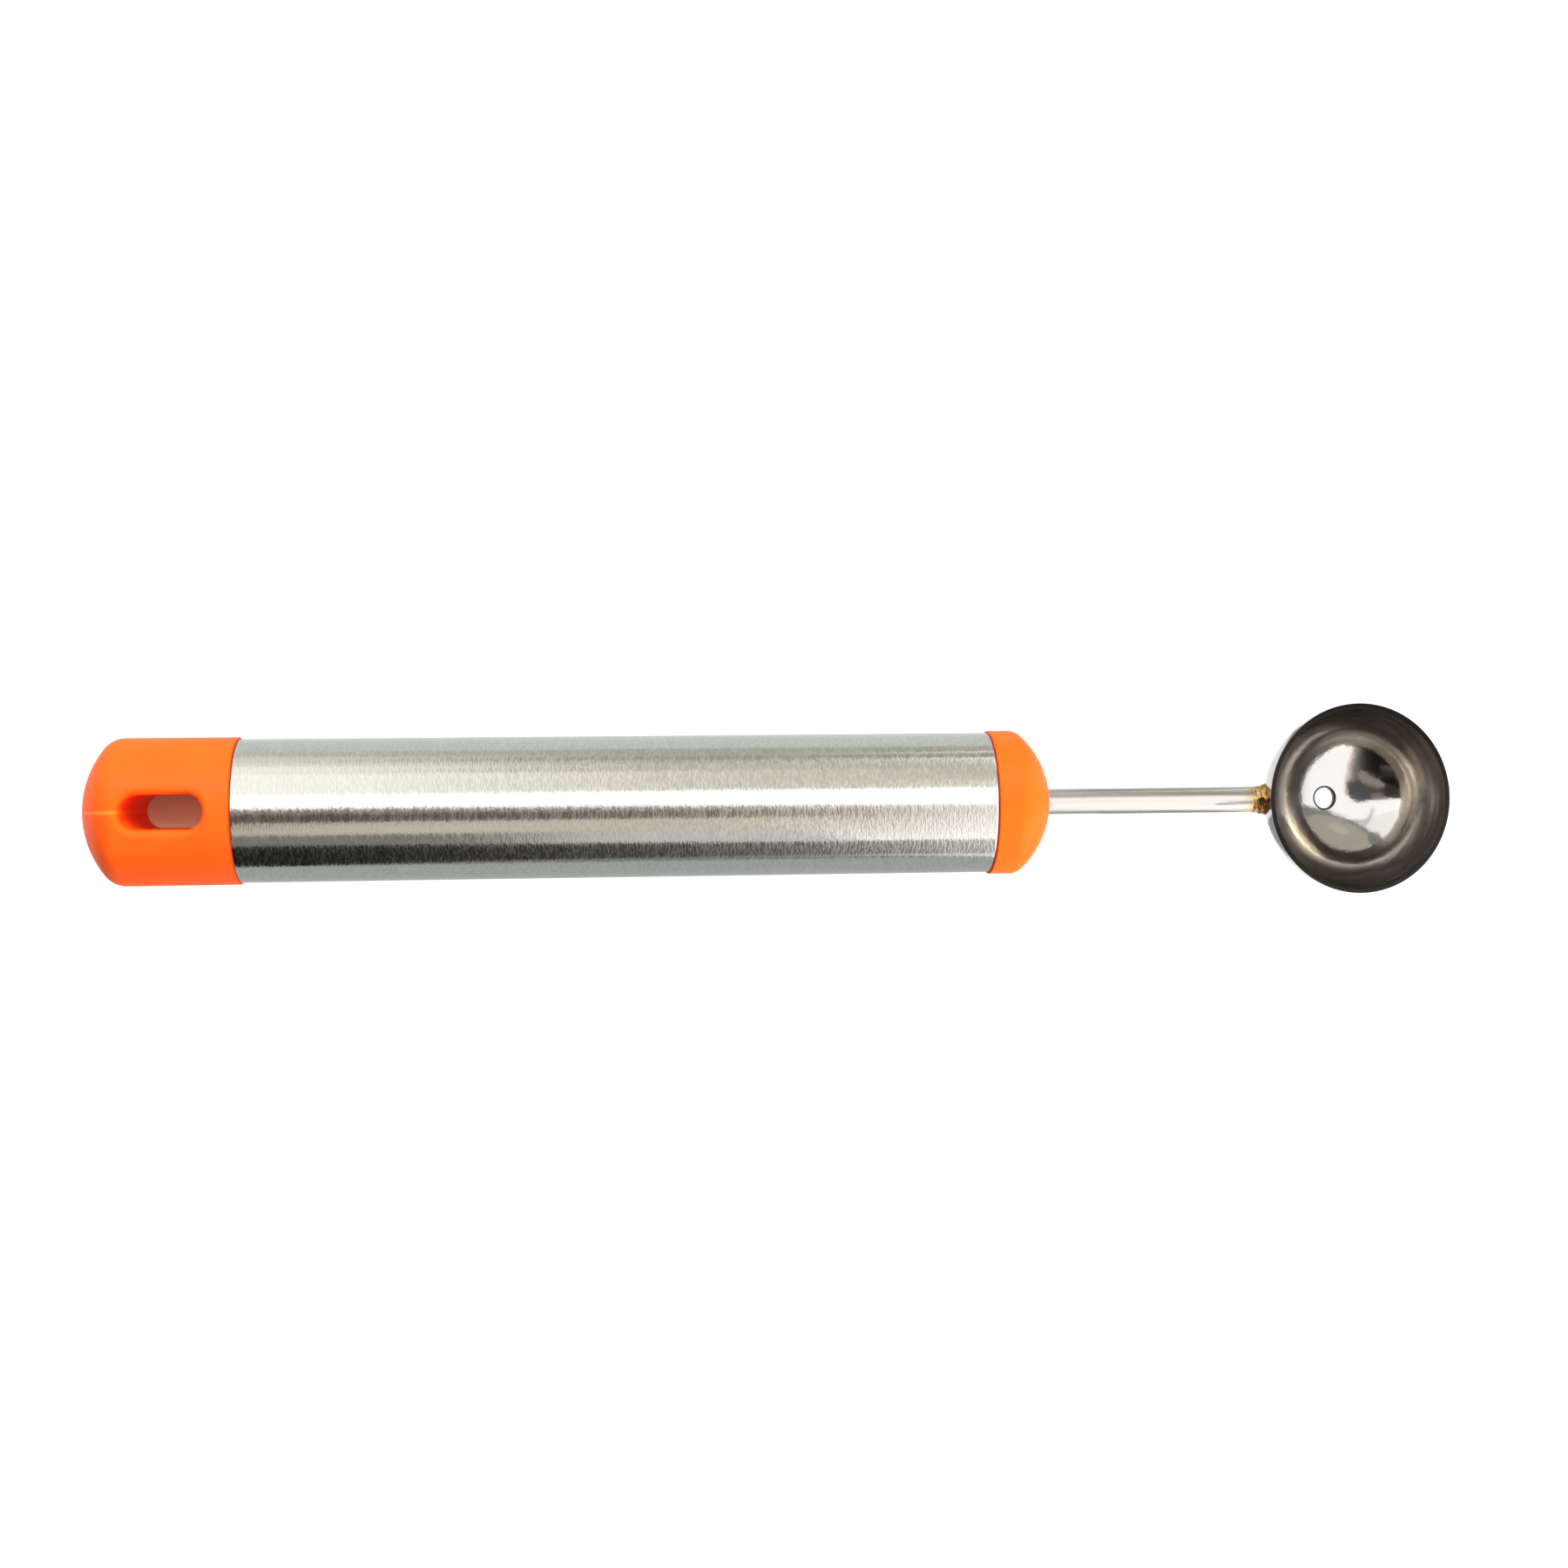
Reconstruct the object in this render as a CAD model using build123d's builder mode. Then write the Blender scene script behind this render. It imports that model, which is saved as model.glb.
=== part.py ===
from build123d import *

import os
from math import cos, radians, sin, sqrt

# A melon baller: a steel tube between two plastic caps, and a welded half ball on a thin rod.
# +X runs from the hanging end to the bowl, and +Z is up, the way the bowl opens.
# The tool lies on z = 0, on both cap collars and on the bottom of the bowl.

# Handle tube
tube_diameter = 18.5
tube_wall = 0.6
tube_length = 97.2
tube_edge_round = 0.2

# Both caps
collar_step = 0.25  # how far the collars stand proud of the tube
shoulder_round = 0.2
spigot_clearance = 0.15
spigot_wall = 1.8
spigot_lead_in = 0.6
crush_rib_width = 1.4
crush_rib_gap = 0.02  # left to the bore once the ribs are crushed
crush_rib_count = 6

# Rear cap, with the hanging slot
rear_cap_length = 19.65
rear_dome_height = 4.0  # from the collar's edge to the tip, along the handle
rear_corner_round = 3.0
rear_spigot_length = 14.0
side_pocket_depth = 13.0

# Hanging slot, measured inside its rounded edges
slot_length = 10.4
slot_width = 4.4
slot_to_tube = 8.5  # from the slot's middle to the end of the tube
slot_edge_round = 0.8
slot_wall = 1.8  # left around the slot by the pockets beside and behind it

# Front cap, which holds the neck rod
front_cap_length = 8.25
front_dome_height = 4.65  # from the collar's edge to the front, along the handle
front_corner_round = 2.0
front_spigot_length = 20.0
front_core_reach = 2.4  # how far the hollow runs past the tube's end
boss_wall = 2.0
web_thickness = 1.6

# Neck rod
rod_diameter = 3.45
neck_length = 29.65  # between the front cap and the bowl, along the rod's axis
tail_cover = 3.0  # plastic behind the rod's tail
tail_length = 9.0
tail_thickness = 2.3  # across its two pressed flats
notch_width = 2.0
notch_depth = 0.45

# Weld bead
weld_toe = 1.9  # from the bead's thin edge on the rod to the bowl
weld_height = 0.85

# Scoop bowl
bowl_diameter = 25.4
bowl_wall = 0.6
bowl_tilt = 4.0  # degrees, the rim dips towards the tip
rim_round = 0.12
vent_diameter = 3.0

# How far cuts run past the solid that they cut
overrun = 1.0

# Radii worked out from the sizes
tube_radius = tube_diameter / 2
bore_radius = tube_radius - tube_wall
collar_radius = tube_radius + collar_step
spigot_radius = bore_radius - spigot_clearance
core_radius = spigot_radius - spigot_wall
rib_crest_radius = bore_radius - crush_rib_gap
rod_radius = rod_diameter / 2
weld_radius = rod_radius + weld_height
bowl_radius = bowl_diameter / 2

# Heights: the collars and the bowl all touch z = 0
axis_height = collar_radius
bowl_height = bowl_radius
bowl_rise = bowl_height - axis_height


def wall_run(offset):
    """Length along X from the bowl's centre to its outer wall, at a distance below the centre."""
    return sqrt(bowl_radius**2 - offset**2)


def dome_radius(height):
    """Radius of a dome that stands this high on a collar."""
    return (collar_radius**2 + height**2) / (2 * height)


# Places along X, counted from the middle of the tool's length
bowl_reach = bowl_radius * cos(radians(bowl_tilt))
rod_to_centre = wall_run(bowl_rise)
tube_to_bowl = front_cap_length + neck_length + rod_to_centre
total_length = rear_cap_length + tube_length + tube_to_bowl + bowl_reach
rear_tip = -total_length / 2
tube_rear = rear_tip + rear_cap_length
tube_front = tube_rear + tube_length
front_tip = tube_front + front_cap_length
bowl_centre = tube_front + tube_to_bowl
rear_spigot_end = tube_rear + rear_spigot_length
front_spigot_end = tube_front - front_spigot_length
tail_end = front_spigot_end + tail_cover
slot_middle = tube_rear - slot_to_tube
weld_start = bowl_centre - rod_to_centre - weld_toe
weld_end = bowl_centre - wall_run(bowl_rise + weld_radius)

# The handle's axis, and the plane of its profiles, where x runs along it and y is the radius
handle_axis = Axis((0, 0, axis_height), (1, 0, 0))
profile_plane = Plane((0, 0, axis_height), x_dir=(1, 0, 0), z_dir=(0, -1, 0))

# The bowl's rim plane, and the plane of its profile
lean = radians(bowl_tilt)
rim_plane = Plane(
    (bowl_centre, 0, bowl_height),
    x_dir=(cos(lean), 0, -sin(lean)),
    z_dir=(sin(lean), 0, cos(lean)),
)
bowl_profile_plane = Plane(rim_plane.origin, x_dir=rim_plane.x_dir, z_dir=(0, -1, 0))
bowl_axis = Axis(rim_plane.origin, rim_plane.z_dir)


def across(x):
    """The plane across the handle at a place along it, with its middle on the handle's axis."""
    return Plane((x, 0, axis_height), x_dir=(0, 1, 0), z_dir=(1, 0, 0))


def rims(piece):
    """The widest rings of a turned piece, from its rear end to its front end."""
    rings = piece.edges().filter_by(GeomType.CIRCLE).filter_by(Plane.YZ)
    return rings.group_by(SortBy.RADIUS)[-1].sort_by(Axis.X)


def crush_ribs(start, length):
    """The ribs round a spigot, which bite in the tube's bore."""
    with BuildPart() as ribs:
        with BuildSketch(across(start)):
            with PolarLocations(spigot_radius, crush_rib_count):
                Rectangle(spigot_wall, crush_rib_width)
            Circle(rib_crest_radius, mode=Mode.INTERSECT)
        extrude(amount=length)
    return ribs.part


# Handle tube
with BuildPart() as handle_tube:
    with BuildSketch(across(tube_rear)):
        Circle(tube_radius)
        Circle(bore_radius, mode=Mode.SUBTRACT)
    extrude(amount=tube_length)
    fillet(rims(handle_tube), radius=tube_edge_round)

# Rear cap
rear_ribs = crush_ribs(tube_rear, rear_spigot_length - spigot_lead_in)
with BuildPart() as rear_cap:
    with BuildSketch(profile_plane):
        with BuildLine():
            dome = RadiusArc(
                (rear_tip, 0),
                (rear_tip + rear_dome_height, collar_radius),
                dome_radius(rear_dome_height),
            )
            Polyline(
                dome @ 1,
                (tube_rear, collar_radius),
                (tube_rear, spigot_radius),
                (rear_spigot_end - spigot_lead_in, spigot_radius),
                (rear_spigot_end, spigot_radius - spigot_lead_in),
                (rear_spigot_end, 0),
                dome @ 0,
            )
        make_face()
    revolve(axis=handle_axis)
    fillet(rims(rear_cap)[0], radius=rear_corner_round)
    fillet(rims(rear_cap)[-1], radius=shoulder_round)
    # the hanging slot, right through, with rounded edges
    with BuildSketch(Plane((slot_middle, 0, axis_height))):
        SlotOverall(slot_length, slot_width)
    extrude(amount=collar_radius + overrun, both=True, mode=Mode.SUBTRACT)
    fillet(rear_cap.edges(Select.LAST).filter_by(Axis.Z, reverse=True), radius=slot_edge_round)
    # the round hollow of the spigot, which stops short of the slot
    core_depth = rear_spigot_length + slot_to_tube - slot_length / 2 - slot_wall
    with BuildSketch(across(rear_spigot_end)):
        Circle(core_radius)
    extrude(amount=-core_depth, mode=Mode.SUBTRACT)
    # a deeper pocket each side of the slot
    with BuildSketch(across(tube_rear)):
        Circle(core_radius)
        Rectangle(slot_width + 2 * slot_wall, 2 * core_radius, mode=Mode.SUBTRACT)
    extrude(amount=-side_pocket_depth, mode=Mode.SUBTRACT)
    add(rear_ribs)

# Neck rod, coped to the bowl, with a flattened and notched tail
with BuildPart() as neck_rod:
    with BuildSketch(across(tail_end)):
        Circle(rod_radius)
    extrude(amount=bowl_centre - tail_end)
    with BuildSketch(across(tail_end)):
        Rectangle(rod_diameter + overrun, rod_diameter + overrun)
        Rectangle(rod_diameter + overrun, tail_thickness, mode=Mode.SUBTRACT)
    extrude(amount=tail_length, mode=Mode.SUBTRACT)
    with BuildSketch(Plane((tail_end + tail_length / 2, 0, axis_height))):
        Rectangle(notch_width, rod_diameter + overrun)
        Rectangle(notch_width, rod_diameter - 2 * notch_depth, mode=Mode.SUBTRACT)
    extrude(amount=rod_diameter, both=True, mode=Mode.SUBTRACT)
    with Locations((bowl_centre, 0, bowl_height)):
        Sphere(bowl_radius, mode=Mode.SUBTRACT)

# Front cap, moulded round the rod's tail
front_ribs = crush_ribs(front_spigot_end + spigot_lead_in, front_spigot_length - spigot_lead_in)
with BuildPart() as front_cap:
    with BuildSketch(profile_plane):
        with BuildLine():
            nose = RadiusArc(
                (front_tip, 0),
                (front_tip - front_dome_height, collar_radius),
                -dome_radius(front_dome_height),
            )
            Polyline(
                nose @ 1,
                (tube_front, collar_radius),
                (tube_front, spigot_radius),
                (front_spigot_end + spigot_lead_in, spigot_radius),
                (front_spigot_end, spigot_radius - spigot_lead_in),
                (front_spigot_end, 0),
                nose @ 0,
            )
        make_face()
    revolve(axis=handle_axis)
    fillet(rims(front_cap)[-1], radius=front_corner_round)
    fillet(rims(front_cap)[0], radius=shoulder_round)
    # a hollow ring round the rod's boss, crossed by webs
    with BuildSketch(across(front_spigot_end)):
        Circle(core_radius)
        Circle(rod_radius + boss_wall, mode=Mode.SUBTRACT)
        Rectangle(2 * core_radius, web_thickness, mode=Mode.SUBTRACT)
        Rectangle(web_thickness, 2 * core_radius, mode=Mode.SUBTRACT)
    extrude(amount=front_spigot_length + front_core_reach, mode=Mode.SUBTRACT)
    add(front_ribs)
    add(neck_rod.part, mode=Mode.SUBTRACT)

# Weld bead, a hollow-faced ring between the rod and the bowl
with BuildPart() as weld_bead:
    with BuildSketch(profile_plane):
        with BuildLine():
            face = TangentArc((weld_start, rod_radius), (weld_end, weld_radius), tangent=(1, 0))
            Polyline(face @ 1, (weld_end, rod_radius), face @ 0)
        make_face()
    revolve(axis=handle_axis)
    with Locations((bowl_centre, 0, bowl_height)):
        Sphere(bowl_radius, mode=Mode.SUBTRACT)

# Scoop bowl, half a hollow ball with a vent hole at its deepest point
with BuildPart() as scoop_bowl:
    with BuildSketch(bowl_profile_plane):
        Circle(bowl_radius)
        Circle(bowl_radius - bowl_wall, mode=Mode.SUBTRACT)
        with Locations((bowl_radius / 2, -bowl_radius / 2)):
            Rectangle(bowl_radius, bowl_radius, mode=Mode.INTERSECT)
    revolve(axis=bowl_axis)
    fillet(scoop_bowl.edges().filter_by(GeomType.CIRCLE).filter_by(rim_plane), radius=rim_round)
    with Locations(rim_plane):
        Hole(vent_diameter / 2, depth=bowl_radius + overrun)

os.makedirs("parts", exist_ok=True)

rear_cap.part.label = "rear_cap"
export_step(rear_cap.part, "parts/rear_cap.step")

handle_tube.part.label = "handle_tube"
export_step(handle_tube.part, "parts/handle_tube.step")

front_cap.part.label = "front_cap"
export_step(front_cap.part, "parts/front_cap.step")

neck_rod.part.label = "neck_rod"
export_step(neck_rod.part, "parts/neck_rod.step")

weld_bead.part.label = "weld_bead"
export_step(weld_bead.part, "parts/weld_bead.step")

scoop_bowl.part.label = "scoop_bowl"
export_step(scoop_bowl.part, "parts/scoop_bowl.step")
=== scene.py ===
from math import asin, cos, degrees, exp, pi, radians, sin, sqrt

import bmesh
import bpy
from bpy.props import FloatProperty, FloatVectorProperty, PointerProperty
from mathutils import Matrix, Vector, noise


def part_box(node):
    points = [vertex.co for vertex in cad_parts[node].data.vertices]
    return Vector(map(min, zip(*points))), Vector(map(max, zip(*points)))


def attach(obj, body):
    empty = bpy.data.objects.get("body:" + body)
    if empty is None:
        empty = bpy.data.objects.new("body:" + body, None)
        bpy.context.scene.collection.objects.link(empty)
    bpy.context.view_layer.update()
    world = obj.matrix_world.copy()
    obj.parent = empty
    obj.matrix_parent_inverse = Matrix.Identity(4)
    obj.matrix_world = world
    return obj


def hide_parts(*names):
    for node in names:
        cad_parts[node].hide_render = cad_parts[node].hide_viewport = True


bl_info = {
    "name": "Melon Baller Looks",
    "version": (1, 0, 0),
    "blender": (4, 5, 0),
    "location": "View3D > Sidebar > Baller",
    "description": "Dresses a melon baller's solids with steel, plastic and weld, and lights them",
    "category": "Object",
}

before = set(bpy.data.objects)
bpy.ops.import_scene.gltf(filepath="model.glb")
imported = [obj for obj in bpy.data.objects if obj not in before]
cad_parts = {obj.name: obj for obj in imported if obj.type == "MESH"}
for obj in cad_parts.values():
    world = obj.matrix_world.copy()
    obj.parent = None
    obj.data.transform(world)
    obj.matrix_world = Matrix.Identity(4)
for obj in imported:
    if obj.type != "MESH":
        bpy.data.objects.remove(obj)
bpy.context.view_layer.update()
MM = 0.001

# Places and sizes of the solids, which every piece below is worked out from
TUBE_LOW, TUBE_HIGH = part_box("handle_tube")
REAR_LOW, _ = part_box("rear_cap")
ROD_LOW, ROD_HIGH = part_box("neck_rod")
WELD_LOW, WELD_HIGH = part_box("weld_bead")
BOWL_LOW, BOWL_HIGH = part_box("scoop_bowl")
AXIS_HEIGHT = (TUBE_LOW.z + TUBE_HIGH.z) / 2
TUBE_RADIUS = (TUBE_HIGH.y - TUBE_LOW.y) / 2
ROD_RADIUS = (ROD_HIGH.y - ROD_LOW.y) / 2
BOWL_RADIUS = (BOWL_HIGH.y - BOWL_LOW.y) / 2
BOWL_CENTRE = Vector((BOWL_LOW.x + BOWL_RADIUS, 0, BOWL_RADIUS))


class Wire:
    """One output of a material's nodes. Python's operators on it add Math nodes."""

    def __init__(self, sheet, socket):
        self.sheet = sheet
        self.socket = socket

    def maths(self, operation, *values):
        return self.sheet.add("ShaderNodeMath", {"operation": operation}, dict(enumerate(values)))

    def __add__(self, other):
        return self.maths("ADD", self, other)

    def __sub__(self, other):
        return self.maths("SUBTRACT", self, other)

    def __mul__(self, other):
        return self.maths("MULTIPLY", self, other)

    def __truediv__(self, other):
        return self.maths("DIVIDE", self, other)

    def __abs__(self):
        return self.maths("ABSOLUTE", self)

    def __radd__(self, other):
        return self.maths("ADD", other, self)

    def __rsub__(self, other):
        return self.maths("SUBTRACT", other, self)

    def __rmul__(self, other):
        return self.maths("MULTIPLY", other, self)

    def __rtruediv__(self, other):
        return self.maths("DIVIDE", other, self)

    def over(self, edge, softness):
        """1 where the value is over the edge, 0 under it, with a soft step between."""
        smooth = {"interpolation_type": "SMOOTHSTEP"}
        sockets = {"Value": self, "From Min": edge - softness, "From Max": edge + softness}
        return self.sheet.add("ShaderNodeMapRange", smooth, sockets)


class Sheet:
    """A material's nodes while they are laid out."""

    def __init__(self, name):
        self.material = bpy.data.materials.new(name)
        self.material.use_nodes = True
        self.tree = self.material.node_tree
        self.tree.nodes.clear()

    def add(self, kind, settings=None, sockets=None, out=0):
        """Adds a node and gives one output: its settings first, then its sockets' values or links."""
        node = self.tree.nodes.new(kind)
        for key, value in (settings or {}).items():
            if key == "stops":
                self.fill_ramp(node.color_ramp, value)
            else:
                setattr(node, key, value)
        for key, value in (sockets or {}).items():
            if isinstance(value, Wire):
                self.tree.links.new(value.socket, node.inputs[key])
            else:
                node.inputs[key].default_value = value
        return Wire(self, node.outputs[out])

    @staticmethod
    def fill_ramp(ramp, stops):
        while len(ramp.elements) < len(stops):
            ramp.elements.new(1)
        for element, (place, colour) in zip(ramp.elements, stops):
            element.position = place
            element.color = (*colour, 1)

    def place(self):
        """The place on the piece, in metres in its own axes."""
        return self.add("ShaderNodeTexCoord", out="Object")

    def axis(self, vector, name):
        return self.add("ShaderNodeSeparateXYZ", None, {0: vector}, out=name)

    def stretch(self, vector, scale):
        return self.add("ShaderNodeVectorMath", {"operation": "MULTIPLY"}, {0: vector, 1: scale})

    def distance(self, vector, point):
        return self.add("ShaderNodeVectorMath", {"operation": "DISTANCE"}, {0: vector, 1: point}, out="Value")

    def near(self, vector, centre, radius, softness):
        """1 near a place and 0 away from it, with a soft step between."""
        return 1 - self.distance(vector, centre).over(radius, softness)

    def clamp(self, value):
        return self.add("ShaderNodeClamp", None, {0: value})

    def noise(self, vector, scale, detail=2.0, roughness=0.5):
        """Smooth noise around 0.5."""
        sockets = {"Vector": vector, "Scale": scale, "Detail": detail, "Roughness": roughness}
        return self.add("ShaderNodeTexNoise", None, sockets)

    def mix(self, share, first, second):
        """A colour between two colours."""
        sockets = {0: share, 6: as_colour(first), 7: as_colour(second)}
        return self.add("ShaderNodeMix", {"data_type": "RGBA"}, sockets, out=2)

    def ramp(self, value, stops):
        return self.add("ShaderNodeValToRGB", {"stops": stops}, {0: value})

    def bump(self, height, depth, strength=1.0, normal=None):
        """A normal from a height between 0 and 1, which stands for a depth in metres."""
        sockets = {"Height": height, "Distance": depth, "Strength": strength}
        if normal:
            sockets["Normal"] = normal
        return self.add("ShaderNodeBump", None, sockets)

    def finish(self, shader):
        output = self.tree.nodes.new("ShaderNodeOutputMaterial")
        self.tree.links.new(shader.socket, output.inputs["Surface"])
        return self.material

    def principled(self, **sockets):
        """The surface itself. Underscores in the names stand for spaces."""
        named = {key.replace("_", " "): value for key, value in sockets.items()}
        named["Base Color"] = as_colour(named["Base Color"])
        return self.finish(self.add("ShaderNodeBsdfPrincipled", None, named))

    def glow(self, colour, strength):
        return self.finish(self.add("ShaderNodeEmission", None, {0: as_colour(colour), 1: strength}))


def as_colour(value):
    """A wire as it is, or three numbers with an alpha of 1."""
    return value if isinstance(value, Wire) else (*value[:3], 1)


# Meshes


def arc(centre, radius, start, end, steps):
    """Points of an arc, as (across, along), at angles in degrees."""
    turn = [radians(start + (end - start) * i / steps) for i in range(steps + 1)]
    return [(centre[0] + radius * cos(a), centre[1] + radius * sin(a)) for a in turn]


def run(start, end, steps):
    """Points of a straight run, without its ends."""
    return [tuple(a + (b - a) * i / steps for a, b in zip(start, end)) for i in range(1, steps)]


def skin(name, sections):
    """A smooth closed object over closed sections that stand in a ring."""
    shape = bmesh.new()
    rings = [[shape.verts.new(point) for point in section] for section in sections]
    for ring, other in zip(rings, rings[1:] + rings[:1]):
        for k in range(len(ring)):
            m = (k + 1) % len(ring)
            shape.faces.new((ring[k], other[k], other[m], ring[m]))
    bmesh.ops.recalc_face_normals(shape, faces=shape.faces)
    mesh = bpy.data.meshes.new(name)
    shape.to_mesh(mesh)
    shape.free()
    mesh.shade_smooth()
    piece = bpy.data.objects.new(name, mesh)
    bpy.context.scene.collection.objects.link(piece)
    return piece


def lathe(name, outline, sides):
    """A closed outline of (radius, height) turned round the local Z axis."""
    turns = [2 * pi * i / sides for i in range(sides)]
    return skin(name, [[(r * cos(a), r * sin(a), z) for r, z in outline] for a in turns])


def stand_for(piece, node, material):
    """The piece takes a solid's place, body and slot."""
    piece.data.materials.append(material)
    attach(piece, "root")
    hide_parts(node)


def dress(node, material):
    """A solid keeps its shape and gets a better finish."""
    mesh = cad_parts[node].data
    mesh.materials.clear()
    mesh.materials.append(material)


# Handle tube


class TubeSettings(bpy.types.PropertyGroup):
    wall: FloatProperty(name="Wall", description="Wall of the tube", default=0.6 * MM, unit="LENGTH")
    end_round: FloatProperty(
        name="End rounding", description="Radius of the rolled ends", default=0.2 * MM, unit="LENGTH"
    )
    colour: FloatVectorProperty(
        name="Steel", description="Colour of the steel",
        default=(0.60, 0.592, 0.565), subtype="COLOR", size=3,
    )
    roughness: FloatProperty(name="Roughness", description="Mean roughness", default=0.165, subtype="FACTOR")
    grain: FloatProperty(
        name="Grain depth", description="Depth of the brushing's grain", default=0.0075 * MM, unit="LENGTH"
    )
    brushing: FloatProperty(
        name="Brushing", description="How far the brushing spreads light", default=0.72, subtype="FACTOR"
    )


def brushed_steel(looks):
    """Stainless steel brushed round the tube: fine lines that run round the local Z axis."""
    sheet = Sheet("brushed_tube_steel")
    place = sheet.place()
    fine = sheet.noise(sheet.stretch(place, (1250, 1250, 3900)), 1.0, 2.0, 0.6)
    broad = sheet.noise(sheet.stretch(place, (180, 180, 900)), 1.0, 2.0, 0.5)
    smudge = sheet.noise(sheet.stretch(place, (70, 70, 35)), 1.0, 3.0, 0.55)
    streak = (fine * 0.8 + broad * 0.2).over(0.5, 0.16)
    dark = [c * 0.93 for c in looks.colour]
    light = [min(c * 1.07, 1) for c in looks.colour]
    colour = sheet.mix(streak, dark, light)
    roughness = looks.roughness + (streak - 0.5) * 0.10 + (smudge - 0.5) * 0.05
    return sheet.principled(
        Base_Color=colour,
        Metallic=1.0,
        Roughness=roughness,
        Anisotropic=looks.brushing,
        Anisotropic_Rotation=0.25,
        Normal=sheet.bump(streak, looks.grain, 1.0),
    )


class MakeTube(bpy.types.Operator):
    """Makes the brushed tube of the handle, with rolled ends and an open bore"""

    bl_idname = "baller.make_tube"
    bl_label = "Handle tube"

    def execute(self, context):
        looks = context.scene.baller_tube
        half = (TUBE_HIGH.x - TUBE_LOW.x) / 2
        bore = TUBE_RADIUS - looks.wall
        corner = TUBE_RADIUS - looks.end_round
        near = half - looks.end_round
        straight = near - looks.end_round
        outline = [(bore, -half), *run((bore, -half), (corner, -half), 3)]
        outline += arc((corner, -near), looks.end_round, -90, 0, 6)
        outline += [(TUBE_RADIUS, -straight)]
        outline += run((TUBE_RADIUS, -straight), (TUBE_RADIUS, straight), 48)
        outline += [(TUBE_RADIUS, straight)]
        outline += arc((corner, near), looks.end_round, 0, 90, 6)
        outline += [*run((corner, half), (bore, half), 3), (bore, half)]
        outline += run((bore, half), (bore, -half), 24)
        piece = lathe("brushed_tube", outline, 256)
        # the local Z axis, which the brushing runs round, is laid along the handle
        middle = Vector(((TUBE_LOW.x + TUBE_HIGH.x) / 2, 0, AXIS_HEIGHT))
        piece.matrix_world = Matrix.Translation(middle) @ Matrix.Rotation(pi / 2, 4, "Y")
        stand_for(piece, "handle_tube", brushed_steel(looks))
        return {"FINISHED"}


# Plastic caps

KNIT_END = REAR_LOW.x + 6.2 * MM
KNIT_FADE, KNIT_DEPTH = 0.6 * MM, 0.05 * MM
# Half width and softness of the painted shade at the caps' joint with the tube
JOINT_SHADE_HALF, JOINT_SHADE_SOFTNESS = 0.14 * MM, 0.10 * MM


class CapSettings(bpy.types.PropertyGroup):
    colour: FloatVectorProperty(
        name="Orange", description="Colour of the plastic",
        default=(0.94, 0.112, 0.005), subtype="COLOR", size=3,
    )
    # Painted light: a faint red glow that lifts the shaded sides of the plastic
    glow: FloatProperty(name="Glow", description="Red glow of the bright pigment", default=0.05)
    roughness: FloatProperty(name="Roughness", description="Mean roughness", default=0.42, subtype="FACTOR")
    grain: FloatProperty(
        name="Grain depth", description="Depth of the mould's fine grain", default=0.01 * MM, unit="LENGTH"
    )
    knit_width: FloatProperty(
        name="Knit line", description="Half width of the knit line behind the slot",
        default=0.18 * MM, unit="LENGTH",
    )


def cap_plastic(looks, name, knit_end, joint):
    """Satin orange plastic with a fine mould grain, flow marks and a knit line up to a place along X.

    It is darker at the joint with the tube: painted shade of the gap there.
    """
    sheet = Sheet(name)
    place = sheet.place()
    grain = sheet.noise(place, 2600, 2.0, 0.6)
    flow = sheet.noise(sheet.stretch(place, (110, 170, 170)), 1.0, 3.0, 0.5)
    along = sheet.axis(place, "X")
    offset = abs(sheet.axis(place, "Y") + (flow - 0.5) * 0.5 * MM)
    knit = (1 - offset.over(looks.knit_width, looks.knit_width)) * (1 - along.over(knit_end, KNIT_FADE))
    deep = [c * k for c, k in zip(looks.colour, (0.97, 0.86, 0.75))]
    colour = sheet.mix(flow.over(0.5, 0.3), deep, looks.colour)
    pale = [c * k for c, k in zip(looks.colour, (1.0, 2.0, 6.0))]
    colour = sheet.mix(knit * 0.8, colour, pale)
    # painted shade: the plastic is darkened at the joint with the tube, where its gap lies in shade
    joint_shade = 1 - abs(along - joint).over(JOINT_SHADE_HALF, JOINT_SHADE_SOFTNESS)
    colour = sheet.mix(joint_shade * 0.75, colour, (0.50, 0.035, 0.004))
    roughness = looks.roughness + (grain - 0.5) * 0.12 + (flow - 0.5) * 0.10 + knit * 0.08
    dented = sheet.bump(1 - knit, KNIT_DEPTH, 0.8)
    return sheet.principled(
        Base_Color=colour,
        Roughness=roughness,
        Specular_IOR_Level=0.07,
        # painted light: a faint red glow lifts the plastic's shaded sides
        Emission_Color=(1.0, 0.03, 0.0, 1),
        Emission_Strength=looks.glow,
        Subsurface_Weight=0.12,
        Subsurface_Radius=(0.0018, 0.0005, 0.0002),
        Subsurface_Scale=1.0,
        Normal=sheet.bump(grain, looks.grain, 0.35, dented),
    )


class DressCaps(bpy.types.Operator):
    """Gives both caps their satin orange plastic"""

    bl_idname = "baller.dress_caps"
    bl_label = "Plastic caps"

    def execute(self, context):
        looks = context.scene.baller_caps
        dress("rear_cap", cap_plastic(looks, "rear_cap_plastic", KNIT_END, TUBE_LOW.x))
        # the front cap has no slot, so its knit line would end behind it and doesn't show
        dress("front_cap", cap_plastic(looks, "front_cap_plastic", REAR_LOW.x, TUBE_HIGH.x))
        return {"FINISHED"}


# Neck rod


class RodSettings(bpy.types.PropertyGroup):
    colour: FloatVectorProperty(
        name="Steel", description="Colour of the drawn wire",
        default=(0.54, 0.52, 0.495), subtype="COLOR", size=3,
    )
    roughness: FloatProperty(name="Roughness", description="Mean roughness", default=0.24, subtype="FACTOR")
    tint_reach: FloatProperty(
        name="Heat tint", description="How far the weld's heat tint runs along the rod",
        default=2.0 * MM, unit="LENGTH",
    )


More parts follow.
